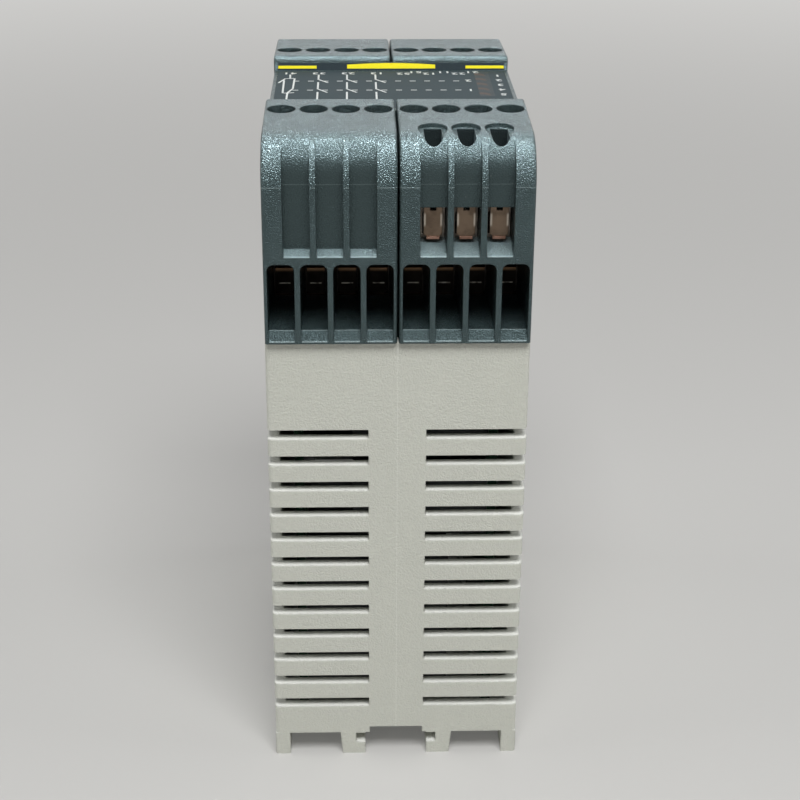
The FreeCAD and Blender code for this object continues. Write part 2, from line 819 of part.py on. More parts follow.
def upper_access(x, low):
    """Shallow D-shaped recess in the top, and in it the driver's shaft, which breaks out of the corner."""
    r = driver_hole_diameter / 2
    top = plug_inner_top + past
    middle = Vector(x, -upper_screw_u, upper_recess_z)
    rise = Vector(0, 0, top - upper_recess_z)
    circle = Part.makeCircle(r, middle)
    ellipse = Part.Ellipse(middle + Vector(0, -upper_recess_front, 0), middle + Vector(r, 0, 0), middle)
    behind = box((x - 2 * r, x + 2 * r), (-upper_screw_u, -upper_screw_u + 2 * r), (upper_recess_z, top))
    ahead = box((x - 2 * r, x + 2 * r), (-upper_screw_u, -plug_face), (upper_recess_z, top))
    back = Part.Face(Part.Wire(circle)).extrude(rise).common(behind)
    front = Part.Face(Part.Wire(ellipse.toShape())).extrude(rise).common(ahead)
    half = upper_shaft_width / 2
    round_u = upper_screw_u + upper_shaft_front - half
    shaft = box((x - half, x + half), (upper_shaft_back - upper_screw_u, -round_u), (low, top))
    shaft_front = rod(half, (x, -round_u, low), (x, -round_u, top))
    return [fused([back, front]), fused([shaft, shaft_front])]


def upper_contact(x):
    """Narrow copper bar of an upper pole with its socket for a long pin."""
    half = upper_bar_width / 2
    pin_half = upper_pin_side / 2 + socket_clearance
    outer = pin_half + upper_socket_wall
    bar = box((x - half, x + half), (-upper_plate_u - flange_clearance, -upper_pin_u + outer),
              (upper_bar_z, upper_bar_z + upper_bar_thickness))
    socket = pin_block(x, upper_pin_u, outer, upper_bar_z - upper_socket_depth, upper_bar_z)
    return fused([bar, socket]).cut(pin_block(x, upper_pin_u, pin_half, 0, 3 * through))


def upper_parts(x):
    """Contact, cage, plate and screw of one upper pole."""
    bar_top = upper_bar_z + upper_bar_thickness
    tip = bar_top + plate_thickness
    head = bar_top + upper_cage_window + upper_cage_bridge + upper_head_gap
    return (
        upper_contact(x),
        cage(x, upper_screw_u, upper_bar_z, upper_bar_thickness, upper_cage_window, upper_cage_bridge),
        pressure_plate(x, upper_screw_u, bar_top, upper_plate_u, upper_flange_height, upper_notch_depth),
        screw(x, upper_screw_u, tip, head),
    )


def strip(centre, u, half_x, half_y, pins, pin_half):
    """Insulating strip of a header with a hole for each pin."""
    block = box((centre - half_x, centre + half_x), (-u - half_y, -u + half_y),
                (terminal_board_top, bay_floor_top - strip_gap))
    return block.cut([pin_block(centre + p, u, pin_half, 0, 2 * through) for p in pins])


def pin_block(x, u, half, low, high):
    """Square upright block round a pin's axis."""
    return box((x - half, x + half), (-u - half, -u + half), (low, high))


def header(centre):
    """Strip of the lower level, as a list."""
    return [strip(centre, pin_u, strip_half_length, strip_width / 2, pole_offsets, pin_side / 2)]


def upper_header(centre):
    """Strip of the upper level, as a list."""
    return [strip(centre, upper_pin_u, upper_strip_half_length, upper_strip_width / 2, channel_offsets,
                  upper_pin_side / 2)]


def header_pins(centre):
    return [pin_block(centre + p, pin_u, pin_side / 2, board_height_top - pin_tail, pin_top) for p in pole_offsets]


def upper_header_pins(centre):
    return [pin_block(centre + p, upper_pin_u, upper_pin_side / 2, board_height_top - pin_tail,
                      upper_bar_z - upper_pin_gap) for p in channel_offsets]


def header_opening(centre):
    """Opening of a bay floor for a header strip, open towards the side wall."""
    side = 1 if centre > 0 else -1
    inner_x = centre - side * (strip_half_length + cover_clearance)
    reach = strip_width / 2 + cover_clearance
    return [box((inner_x, side * half_width), (-pin_u - reach, -pin_u + reach),
                (bay_floor_bottom - past, bay_floor_top + past))]


def upper_header_opening(centre):
    """Opening of the bay floor round the upper level's strip."""
    reach = upper_strip_width / 2 + cover_clearance
    half = upper_strip_half_length + cover_clearance
    return [box((centre - half, centre + half), (-upper_pin_u - reach, -upper_pin_u + reach),
                (bay_floor_bottom - past, bay_floor_top + past))]


def terminal_board():
    """Near board under the bay, drilled for the header pins."""
    inside_x = half_width - wall - board_side_gap
    board = box((-inside_x, inside_x),
                (board_end_gap - half_length + wall, -plug_inner - board_inner_gap),
                (board_height_top, terminal_board_top))
    pins = [pin_block(side * plug_centre_x + p, pin_u, pin_side / 2, 0, 2 * through)
            for side in (-1, 1) for p in pole_offsets]
    return board.cut(pins)


def upright_board(x):
    """Board that stands in the guides of one housing half."""
    return box((x, x + board_thickness), (-board_edge, board_edge), (base_top, upright_top))


def relay_board():
    """Upright board with a tongue into the hood that carries the indicators."""
    tongue = box((relay_board_x, relay_board_x + board_thickness), (display_tongue_start, display_tongue_end),
                 (upright_top - past, display_tongue_top))
    return fused([upright_board(relay_board_x), tongue])


def rounded_block(x, y, z, radius):
    """A block with round edges along X."""
    block = box(x, y, z)
    edges = [e for e in block.Edges if abs(e.Vertexes[0].X - e.Vertexes[1].X) > same]
    return block.makeFillet(radius, edges)


def mains_transformer():
    """Potted block on the power board."""
    x0 = power_board_x + board_thickness
    return rounded_block((x0, x0 + board_distance - transformer_gap), (transformer_start, transformer_end),
                         (transformer_z, relay_z[0] - part_spacing - transformer_rounding), transformer_rounding)


def relay(y0, z0, upright):
    """Sealed force-guided relay on the relay board."""
    y_side, z_side = (relay_thickness, relay_length) if upright else (relay_length, relay_thickness)
    return rounded_block((relay_board_x - board_distance + relay_gap, relay_board_x), (y0, y0 + y_side),
                         (z0, z0 + z_side), relay_rounding)


def capacitor(z):
    """Electrolytic can lying off the power board, with the rolled groove near its foot."""
    x0 = power_board_x + board_thickness
    y = board_edge - capacitor_radius - capacitor_edge_gap
    can = rod(capacitor_radius, (x0, y, z), (x0 + board_distance - capacitor_gap, y, z))
    groove = Part.makeTorus(capacitor_radius + groove_radius - groove_depth, groove_radius,
                            Vector(x0 + groove_height, y, z), Vector(1, 0, 0))
    return can.cut(groove)


def fuse():
    """Round radial fuse on the power board."""
    x0 = power_board_x + board_thickness
    y = transformer_end + fuse_spacing + fuse_radius
    return rod(fuse_radius, (x0, y, fuse_z), (x0 + fuse_height, y, fuse_z))


def rectifier():
    """Bridge rectifier that stands off the power board."""
    x0 = power_board_x + board_thickness
    reach, along_y, along_z = rectifier_size
    y = transformer_end + part_spacing
    z = board_height_top - rectifier_drop
    return rounded_block((x0, x0 + reach), (y, y + along_y), (z, z + along_z), rectifier_rounding)


def control_chips():
    """One controller for each channel."""
    y = board_edge - chip_edge_gap - chip_side
    return [box((relay_board_x - chip_height, relay_board_x), (y, y + chip_side),
                (board_height_top - drop, board_height_top - drop + chip_side)) for drop in chip_drops]


def build():
    """Every sub-part by name."""
    right = housing_half(relay_board_x)
    left = mirrored(housing_half(-power_board_x - board_thickness))
    parts = {
        "housing_left": left,
        "housing_right": right,
        "front_cover": front_cover(),
        "label_foil": label_foil(),
        "led_window": led_window(),
        "light_pipes": light_pipes(),
        "leds": leds(),
        "din_latch": din_latch(),
        "latch_spring": latch_spring(),
        "power_board": upright_board(power_board_x),
        "relay_board": relay_board(),
        "mains_transformer": mains_transformer(),
        "relay_1": relay(lying_relay_start, relay_z[0], False),
        "relay_2": relay(lying_relay_start, relay_z[1], False),
        "relay_3": relay(standing_relay_start, standing_relay_z, True),
        "capacitors": [capacitor(z) for z in capacitor_z],
        "fuse": fuse(),
        "rectifier": rectifier(),
        "control_chips": control_chips(),
    }
    near_board = terminal_board()
    parts["terminal_board_far"] = turned(near_board)
    parts["terminal_board_near"] = near_board.cut(
        [pin_block(plug_centre_x + p, upper_pin_u, upper_pin_side / 2, 0, 2 * through) for p in channel_offsets])
    pins = upper_header_pins(plug_centre_x)
    for centre, end in plug_places():
        name = ("near" if end < 0 else "far") + ("_left" if centre < 0 else "_right")
        upper = name == "near_right"
        local = centre if end < 0 else -centre
        body = plug_body(local, upper)
        parts["plug_" + name] = body if end < 0 else turned(body)
        for kind, solids in lower_clamps(local).items():
            parts[kind + "_" + name] = solids if end < 0 else [turned(s) for s in solids]
        strips = at_end(centre, end, header)
        if upper:
            strips += upper_header(centre)
        parts["header_" + name] = strips
        pins += at_end(centre, end, header_pins)
    parts["header_pins"] = pins
    upper_poles = [upper_parts(plug_centre_x + offset) for offset in channel_offsets]
    parts["upper_contacts"] = [pole[0] for pole in upper_poles]
    parts["upper_cages"] = [pole[1] for pole in upper_poles]
    for number, pole in enumerate(upper_poles, 1):
        parts[f"upper_plate_{number}"] = pole[2]
        parts[f"upper_screw_{number}"] = pole[3]
    return parts


os.makedirs("parts", exist_ok=True)
for name, made in build().items():
    shape = Part.makeCompound(made) if isinstance(made, list) else made
    shape.exportStep(f"parts/{name}.step")
    print(f"{name}: {len(shape.Solids)} solids, {shape.Volume:.0f} mm3")
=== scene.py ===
import json
import math

import bmesh
import bpy
from mathutils import Matrix, Vector

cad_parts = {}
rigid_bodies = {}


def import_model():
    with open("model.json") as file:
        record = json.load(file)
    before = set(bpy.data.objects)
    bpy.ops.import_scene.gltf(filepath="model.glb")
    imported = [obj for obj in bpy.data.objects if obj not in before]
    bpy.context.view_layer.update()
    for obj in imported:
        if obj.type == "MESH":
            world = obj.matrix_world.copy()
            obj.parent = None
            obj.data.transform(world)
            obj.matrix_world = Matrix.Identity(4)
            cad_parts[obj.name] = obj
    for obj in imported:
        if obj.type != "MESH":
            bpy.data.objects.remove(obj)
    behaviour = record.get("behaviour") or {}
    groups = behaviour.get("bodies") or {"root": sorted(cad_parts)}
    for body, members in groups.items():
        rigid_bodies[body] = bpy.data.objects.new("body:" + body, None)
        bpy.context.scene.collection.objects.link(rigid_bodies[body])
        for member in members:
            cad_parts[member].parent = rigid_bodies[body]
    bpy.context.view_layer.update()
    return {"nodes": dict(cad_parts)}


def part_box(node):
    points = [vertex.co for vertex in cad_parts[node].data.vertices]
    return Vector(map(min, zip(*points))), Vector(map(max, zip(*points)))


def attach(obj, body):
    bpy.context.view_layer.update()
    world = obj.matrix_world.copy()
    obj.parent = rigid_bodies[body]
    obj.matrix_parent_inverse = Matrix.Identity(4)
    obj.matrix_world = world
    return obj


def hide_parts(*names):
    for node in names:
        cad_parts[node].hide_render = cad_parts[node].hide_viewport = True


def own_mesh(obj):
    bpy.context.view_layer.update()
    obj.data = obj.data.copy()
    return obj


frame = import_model()
nodes = frame["nodes"]
mm = 0.001
print("relay loaded,", len(nodes), "nodes")


# a socket that takes part in plain sums
class Wire:
    def __init__(self, finish, socket):
        self.finish = finish
        self.socket = socket

    def combine(self, operation, *values):
        return self.finish.add("ShaderNodeMath", {"operation": operation}, list(values))

    def __add__(self, other):
        return self.combine("ADD", self, other)

    def __radd__(self, other):
        return self.combine("ADD", other, self)

    def __sub__(self, other):
        return self.combine("SUBTRACT", self, other)

    def __rsub__(self, other):
        return self.combine("SUBTRACT", other, self)

    def __mul__(self, other):
        return self.combine("MULTIPLY", self, other)

    def __rmul__(self, other):
        return self.combine("MULTIPLY", other, self)

    def __truediv__(self, other):
        return self.combine("DIVIDE", self, other)

    def __rtruediv__(self, other):
        return self.combine("DIVIDE", other, self)

    def __mod__(self, other):
        return self.combine("FLOORED_MODULO", self, other)

    def __abs__(self):
        return self.combine("ABSOLUTE", self)

    def root(self):
        return self.combine("SQRT", self)


shaderSockets = {
    "metal": "Metallic", "shine": "Specular IOR Level", "tint": "Specular Tint", "coat": "Coat Weight",
    "coatRoughness": "Coat Roughness", "clear": "Transmission Weight", "refraction": "IOR",
}


# the nodes of one material or of the room's light, and what most finishes are made from, lengths in mm
class Finish:
    def __init__(self, name, kind="materials"):
        self.owner = getattr(bpy.data, kind).new(name)
        self.owner.use_nodes = True
        self.tree = self.owner.node_tree
        self.tree.nodes.clear()
        self.place = None

    def add(self, kind, settings=None, inputs=None, output=0):
        node = self.tree.nodes.new(kind)
        for name, value in (settings or {}).items():
            setattr(node, name, value)
        pairs = enumerate(inputs) if isinstance(inputs, list) else (inputs or {}).items()
        for key, value in pairs:
            if isinstance(value, Wire):
                self.tree.links.new(value.socket, node.inputs[key])
            else:
                node.inputs[key].default_value = value
        return Wire(self, node.outputs[output]) if node.outputs else None

    def spot(self):
        if self.place is None:
            corner = self.add("ShaderNodeTexCoord", output="Object")
            inMm = {0: corner, "Scale": 1 / mm}
            self.place = self.add("ShaderNodeVectorMath", {"operation": "SCALE"}, inMm)
        return self.place

    def along(self, way, vector=None):
        return self.add("ShaderNodeSeparateXYZ", inputs=[vector or self.spot()], output=way)

    def stretched(self, *shares):
        return self.add("ShaderNodeVectorMath", {"operation": "MULTIPLY"}, [self.spot(), shares])

    def noise(self, size, detail=2.0, roughness=0.5, vector=None):
        return self.add("ShaderNodeTexNoise", {}, {"Vector": vector or self.spot(), "Scale": 1 / size,
                                                   "Detail": detail, "Roughness": roughness})

    def rise(self, value, start, end, low=0.0, high=1.0):
        return self.add("ShaderNodeMapRange", {"interpolation_type": "SMOOTHSTEP"},
                        {"Value": value, "From Min": start, "From Max": end, "To Min": low, "To Max": high})

    def fall(self, value, start, end):
        return self.rise(value, start, end, 1.0, 0.0)

    def between(self, value, low, high, soft):
        return self.rise(value, low - soft, low + soft) * self.fall(value, high - soft, high + soft)

    def blend(self, mask, first, second):
        return self.add("ShaderNodeMix", {"data_type": "RGBA"}, {0: mask, 6: first, 7: second}, 2)

    def flatNormal(self):
        return self.add("ShaderNodeNewGeometry", output="Normal")

    def softEdge(self, radius):
        return self.add("ShaderNodeBevel", {"samples": 4}, {"Radius": radius * mm})

    def relief(self, height, depth, normal):
        return self.add("ShaderNodeBump", {}, {"Strength": 1.0, "Distance": depth * mm, "Height": height,
                                               "Normal": normal})

    def surface(self, colour, roughness, normal, **fixed):
        sockets = {"Base Color": colour, "Roughness": roughness, "Normal": normal}
        for name, value in fixed.items():
            sockets[shaderSockets[name]] = value
        return self.add("ShaderNodeBsdfPrincipled", {}, sockets)

    def close(self, surface, kind="ShaderNodeOutputMaterial"):
        self.add(kind, {}, {"Surface": surface})
        return self.owner

    def shade(self, colour, roughness, normal, **fixed):
        return self.close(self.surface(colour, roughness, normal, **fixed))


def dress(material, *names):
    # gives a material to every slot of the named nodes
    for name in names:
        slots = nodes[name].data.materials
        if not slots:
            slots.append(material)
        for i in range(len(slots)):
            slots[i] = material


plugNames = ["near_left", "near_right", "far_left", "far_right"]


def ofPlugs(kind):
    return [kind + "_" + name for name in plugNames]


def ofUpperClamps(kind):
    return [kind + "_" + str(i) for i in (1, 2, 3)]


# where the poles of the blocks lie, as distances from the relay's middle along X
poles = {
    "pitch": 5.5,
    "channelMiddle": 11.275,
    "poleMiddle": 8.525,
}

# spark-eroded slate plastic of the four terminal blocks and the cover
slateBlock = {
    "colour": (0.016, 0.0248, 0.0245, 1.0),
    "paleColour": (0.030, 0.0445, 0.0445, 1.0),
    "channelShadeColour": (0.014, 0.0198, 0.0185, 1.0),
    "dustAndTopLightColour": (0.034, 0.052, 0.055, 1.0),    # dust on the surfaces that face up, and painted light on these tops
    "fluffColour": (0.35, 0.37, 0.36, 1.0),      # single grains of dust
    "litSillColour": (0.15, 0.20, 0.21, 1.0),
    "lipHighlightColour": (0.30, 0.37, 0.38, 1.0),
    "lineColour": (0.20, 0.25, 0.25, 1.0),
    "shaftShadeColour": (0.001, 0.001, 0.001, 1.0),
    "sheen": (0.68, 0.94, 1.0, 1.0),
    "shine": 0.75,
    "roughness": 0.25,
    "grain": 0.21,               # between pits
    "fineGrain": 0.10,
    "cloudSize": 9.0,
    "fluffSize": 0.7,
    "depth": 0.11,
    "edge": 0.28,
    "calm": 0.65,                # how much less grain the channel floors have
    "channelShadeStrength": 0.7,
    "lipHighlightStrength": 0.8,
    "lineStrength": 0.75,
    "shaftShadeStrength": 0.95,
    "fluffStrength": 0.35,
    "facingUp": (0.55, 0.95),    # by the height of the normal
    "facingAside": (0.3, 0.5),
    "poleSides": (0.37, 0.40),   # half widths, as shares of the pitch
    "channelSides": (0.411, 0.43),
    "shaftSides": (0.28, 0.30),
    "blockSides": (1.46, 1.50),
    "faceBand": (41.65, 41.80),  # distances from the middle along Y, and heights
    "channelFloor": (41.15, 41.35),
    "channelHeights": (100.0, 110.8),
    "sillHeights": (97.4, 100.72),
    "sillLip": (99.10, 99.34),
    "mouthLip": (84.10, 84.34),
    "mouthBevel": (40.83, 40.97),
    "bevelHeights": (85.75, 86.25),
    "partingLine": (110.99, 111.11),
    "shaftPlace": (30.8, 36.9),  # painted shade on the walls of the upper driver holes
    "shaftHeights": (108.0, 117.95),
    "cornerCentre": (34.0, 110.4),
    "cornerRadius": 8.0,
    "cornerReach": (-4.0, -3.0),                 # where its channels start, from the centre
    "sunkBy": (0.3, 1.0),        # how far they lie under the round corner
}


def slateZones(finish, look, facing, up):
    # masks of the places that look different: the channels, sills, lips and driver shafts, where shade and
    # light are painted, and the parting line
    x, y, z = (finish.along(way) for way in "XYZ")
    away = abs(y)
    step = (abs(x) - poles["channelMiddle"]) / poles["pitch"]
    onPole = finish.fall(abs(step % 1.0 - 0.5), *look["poleSides"])
    fromChannel = abs((step + 0.5) % 1.0 - 0.5)
    inBlock = finish.fall(abs(step), *look["blockSides"])
    onChannel = finish.fall(fromChannel, *look["poleSides"]) * inBlock

    inward, above = away - look["cornerCentre"][0], z - look["cornerCentre"][1]
    reach = (inward * inward + above * above).root()
    sunk = finish.rise(look["cornerRadius"] - reach, *look["sunkBy"]) * finish.rise(above, 0.0, 0.8)
    channel = finish.between(z, *look["channelHeights"], 0.4) * finish.fall(away, *look["channelFloor"])
    channel = channel + sunk * finish.rise(inward, *look["cornerReach"])
    channel = channel * finish.fall(fromChannel, *look["channelSides"]) * inBlock

    atFace = finish.rise(away, *look["faceBand"])
    lipHighlights = onChannel * finish.between(z, *look["sillLip"], 0.05) * atFace
    lipHighlights = lipHighlights + onPole * finish.between(z, *look["mouthLip"], 0.05) * atFace
    bevel = finish.between(away, *look["mouthBevel"], 0.04) * finish.between(z, *look["bevelHeights"], 0.1)

    nearRight = finish.rise(x, 0.0, 1.0) * finish.fall(y, -1.0, 0.0)
    shaft = finish.between(away, *look["shaftPlace"], 0.1) * finish.between(z, *look["shaftHeights"], 0.05)
    shaft = shaft * finish.fall(fromChannel, *look["shaftSides"]) * inBlock * nearRight
    return {
        "channel": channel,
        "sill": finish.between(z, *look["sillHeights"], 0.1) * up * onChannel,
        "lipHighlights": lipHighlights + 0.6 * onPole * bevel,
        "line": finish.between(z, *look["partingLine"], 0.03),
        "shaft": shaft * finish.fall(abs(facing), *look["facingAside"]),
    }


def slateFinish(name, look):
    finish = Finish(name)
    pits = finish.noise(look["grain"], 1.5, 0.45)
    fine = finish.noise(look["fineGrain"], 1.0)
    cloud = finish.noise(look["cloudSize"], 3.0)
    fluff = finish.rise(finish.noise(look["fluffSize"], 2.0), 0.735, 0.78)
    facing = finish.along("Z", finish.flatNormal())
    up = finish.rise(facing, *look["facingUp"])
    zone = slateZones(finish, look, facing, up)

    rough = 1 - look["calm"] * zone["channel"]
    height = (0.72 * finish.rise(pits, 0.32, 0.68) + 0.28 * fine) * rough
    normal = finish.relief(height, look["depth"], finish.softEdge(look["edge"]))
    colour = finish.blend(0.55 * cloud + 0.35 * pits, look["colour"], look["paleColour"])
    layers = [
        # painted shade: the channel floors are darker
        (look["channelShadeStrength"] * zone["channel"], "channelShadeColour"),
        # dust and painted light on the surfaces that face up
        (up * (0.1 + 1.1 * finish.rise(pits, 0.35, 0.65)), "dustAndTopLightColour"),
        # painted light on the sills that face up
        (zone["sill"] * (0.4 + 0.8 * fine), "litSillColour"),
        # painted highlights along the lips of the sills and the wire entries
        (look["lipHighlightStrength"] * zone["lipHighlights"], "lipHighlightColour"),
        (look["lineStrength"] * zone["line"] * rough, "lineColour"),
        # painted shade: near black walls in the upper driver holes
        (look["shaftShadeStrength"] * zone["shaft"], "shaftShadeColour"),
        (look["fluffStrength"] * fluff * (1 - zone["shaft"]), "fluffColour"),
    ]
    for mask, layer in layers:
        colour = finish.blend(mask, colour, look[layer])
    roughness = look["roughness"] + 0.16 * fine + 0.10 * cloud - 0.1 + 0.6 * zone["shaft"]
    return finish.shade(colour, roughness, normal, shine=look["shine"], tint=look["sheen"])


dress(slateFinish("slate_block", slateBlock), *ofPlugs("plug"))
dress(slateFinish("slate_cover", dict(slateBlock, lineStrength=0.0, depth=0.05)), "front_cover")
print("slate plastic on the blocks and the cover")

# light grey housing
greyHousing = {
    "colour": (0.640, 0.650, 0.580, 1.0),
    "shadeColour": (0.574, 0.584, 0.523, 1.0),
    "seamHighlightColour": (0.84, 0.85, 0.80, 1.0),
    "ledgeColour": (0.88, 0.89, 0.85, 1.0),
    "speckColour": (0.25, 0.24, 0.21, 1.0),
    "shine": 0.45,
    "roughness": 0.46,
    "grain": 0.29,
    "cloudSize": 14.0,
    "flowSize": 3.0,
    "flowStretch": (1.0, 1.0, 0.18),
    "speckSize": 0.5,
    "depth": 0.045,
    "seam": 0.05,                # half the width of the painted highlight along the seam
    "seamHighlightStrength": 0.4,
    "speckStrength": 0.35,
    "ledgeStrength": 0.8,
    "edge": 0.55,                # the upper edges of the slats are rounder than the lower ones
    "sharpMiddle": (0.7, 0.9),   # away from the seam
    "sharpBelow": (-0.30, -0.10),                # by the height of the normal
    "ledge": (0.35, 0.75),
}


def housingFinish(look):
    finish = Finish("grey_housing")
    fromSeam = abs(finish.along("X"))
    pebble = finish.noise(look["grain"], 2.0)
    raised = finish.rise(pebble, 0.38, 0.62)
    cloud = finish.noise(look["cloudSize"], 3.0)
    flow = finish.noise(look["flowSize"], 2.0, 0.5, finish.stretched(*look["flowStretch"]))
    speck = finish.rise(finish.noise(look["speckSize"], 1.0), 0.76, 0.80)
    soft = finish.softEdge(look["edge"])
    upward = finish.along("Z", soft)

    colour = finish.blend(0.4 * cloud + 0.3 * flow + 0.35 * raised, look["colour"], look["shadeColour"])
    # painted highlight along the seam between the two halves
    seam = finish.between(fromSeam, -look["seam"], look["seam"], 0.03)
    # painted light on the surfaces that face up, such as the ledges of the slots
    ledge = finish.rise(upward, *look["ledge"])
    layers = [
        (look["seamHighlightStrength"] * seam, "seamHighlightColour"),
        (look["speckStrength"] * speck, "speckColour"),
        (look["ledgeStrength"] * ledge, "ledgeColour"),
    ]
    for mask, layer in layers:
        colour = finish.blend(mask, colour, look[layer])
    sharp = finish.fall(fromSeam, *look["sharpMiddle"]) + finish.fall(upward, *look["sharpBelow"])
    normals = {0: sharp, 4: soft, 5: finish.flatNormal()}
    edge = finish.add("ShaderNodeMix", {"data_type": "VECTOR"}, normals, 1)
    normal = finish.relief(raised, look["depth"], edge)
    roughness = look["roughness"] + 0.12 * cloud - 0.05 * pebble
    return finish.shade(colour, roughness, normal, shine=look["shine"])


dress(housingFinish(greyHousing), "housing_left", "housing_right")
print("housing plastic")

# printed foil, smoky window and the indicators under it
foilLook = {
    "colour": (0.024, 0.039, 0.045, 1.0),
    "worn": (0.040, 0.061, 0.068, 1.0),
    "windowColour": (0.031, 0.043, 0.047, 1.0),
    "pipeGlimmerColour": (0.082, 0.056, 0.045, 1.0),
    "roughness": 0.68,
    "shine": 0.30,
    "scratchStretch": (0.12, 1.6, 1.0),
    "middle": 16.4,              # X of the row of light pipes
    "firstLed": -3.5,            # Y of the first one
    "ledPitch": 3.7,
    "streakReach": 1.15,
    "streakHalf": 0.7,
    "streakBow": (0.45, 0.35),   # how the glimmer of each pipe curves and leans
}


def foilFinish(look):
    finish = Finish("label_foil")
    grain = finish.noise(0.16, 2.0)
    cloud = finish.noise(5.0, 3.0)
    streaks = finish.noise(0.5, 2.0, 0.6, finish.stretched(*look["scratchStretch"]))
    scratches = finish.rise(streaks, 0.62, 0.75)
    colour = finish.blend(0.6 * cloud + 0.3 * scratches, look["colour"], look["worn"])
    normal = finish.relief(grain, 0.012, finish.softEdge(0.08))
    roughness = look["roughness"] + 0.1 * cloud - 0.08 * scratches
    return finish.shade(colour, roughness, normal, shine=look["shine"])


def windowFinish(look):
    finish = Finish("smoky_window")
    across = finish.along("X") - look["middle"]
    bend, lean = look["streakBow"]
    bow = across * across * bend + across * lean
    half, reach = look["ledPitch"] / 2, look["streakReach"]
    step = (finish.along("Y") + bow - (look["firstLed"] - half)) % look["ledPitch"]
    streak = finish.between(step, half - look["streakHalf"], half + look["streakHalf"], 0.45)
    streak = streak * finish.between(across, -reach, reach, 0.25)
    ragged = finish.noise(0.8, 3.0)
    # painted glimmer of the light pipes on the smoky window
    colour = finish.blend(streak * (0.55 + 0.6 * ragged), look["windowColour"], look["pipeGlimmerColour"])
    normal = finish.relief(finish.noise(0.6, 1.0), 0.006, finish.softEdge(0.06))
    return finish.shade(colour, look["roughness"] - 0.1 + 0.1 * ragged, normal, shine=look["shine"])


# light pipes and lenses: colour, second colour, size of the haze, roughness and how much it varies, edge
lensLooks = {
    "light_pipe": ((0.62, 0.66, 0.64, 1.0), (0.50, 0.53, 0.52, 1.0), 0.7, (0.12, 0.15), 0.08),
    "led_lens": ((0.42, 0.36, 0.16, 1.0), (0.55, 0.50, 0.28, 1.0), 0.4, (0.25, 0.10), 0.06),
}


def lensFinish(name, **fixed):
    first, second, size, (roughness, unevenness), edge = lensLooks[name]
    finish = Finish(name)
    haze = finish.noise(size, 2.0)
    normal = finish.relief(haze, 0.01, finish.softEdge(edge))
    return finish.shade(finish.blend(haze, first, second), roughness + unevenness * haze, normal, **fixed)


dress(foilFinish(foilLook), "label_foil")
dress(windowFinish(foilLook), "led_window")
dress(lensFinish("light_pipe", clear=0.6, refraction=1.49), "light_pipes")
dress(lensFinish("led_lens", coat=0.4, coatRoughness=0.1), "leds")
print("foil, window and indicators")

# metals of the clamps: colour, tarnish, roughness, how the brush marks are stretched along X, Y and Z
metalLooks = {
    "clamp_nickel": ((0.24, 0.21, 0.18, 1.0), (0.13, 0.11, 0.09, 1.0), 0.32, (1.0, 1.0, 0.15)),
    "shaded_nickel": ((0.09, 0.08, 0.07, 1.0), (0.04, 0.035, 0.03, 1.0), 0.38, (1.0, 1.0, 0.15)),
    "upper_plate": ((0.17, 0.125, 0.09, 1.0), (0.11, 0.08, 0.058, 1.0), 0.32, (0.15, 1.0, 1.0)),
    # darker copy of the plate metal: painted shade on the plates deep in the wire entries
    "lower_plate": ((0.016, 0.013, 0.011, 1.0), (0.007, 0.006, 0.005, 1.0), 0.40, (0.15, 1.0, 1.0)),
    "contact_copper": ((0.28, 0.17, 0.13, 1.0), (0.15, 0.085, 0.06, 1.0), 0.34, (1.0, 0.15, 1.0)),
    "shaded_copper": ((0.045, 0.030, 0.022, 1.0), (0.018, 0.012, 0.009, 1.0), 0.40, (1.0, 0.15, 1.0)),
    "tinned_pin": ((0.63, 0.63, 0.60, 1.0), (0.42, 0.41, 0.38, 1.0), 0.28, (1.0, 1.0, 0.2)),
    "spring_steel": ((0.50, 0.50, 0.49, 1.0), (0.28, 0.27, 0.26, 1.0), 0.30, (1.0, 1.0, 1.0)),
}


def brushedMetal(finish, name):
    bright, tarnish, roughness, stretch = metalLooks[name]
    brushed = finish.noise(0.12, 3.0, 0.6, finish.stretched(*stretch))
    stain = finish.noise(1.8, 3.0)
    colour = finish.blend(finish.rise(stain, 0.40, 0.70) * 0.8, bright, tarnish)
    return brushed, colour, roughness + 0.22 * stain + 0.08 * brushed - 0.1


def metalFinish(name):
    finish = Finish(name)
    brushed, colour, roughness = brushedMetal(finish, name)
    return finish.shade(colour, roughness, finish.relief(brushed, 0.012, finish.softEdge(0.07)), metal=1.0)


# pressure plates, each with a painted glint where light catches it
upperPlate = {
    "paintedGlint": (0.52, 0.47, 0.40, 1.0),
    "middle": poles["channelMiddle"],
    "sides": (1.22, 1.75),       # distances from the middle of the plate
    "heights": (103.5, 105.6),
    "soft": 0.35,
    "edge": 0.16,
}
lowerPlate = {
    "paintedGlint": (0.62, 0.58, 0.50, 1.0),
    "middle": poles["poleMiddle"],
    "sides": (-1.0, 1.02),
    "heights": (88.80, 89.02),
    "soft": 0.06,
    "edge": 0.07,
    "warmReflection": (0.34, 0.20, 0.11, 1.0),           # painted warm reflection on the upper end
    "warmReflectionHeights": (90.95, 91.6),
}


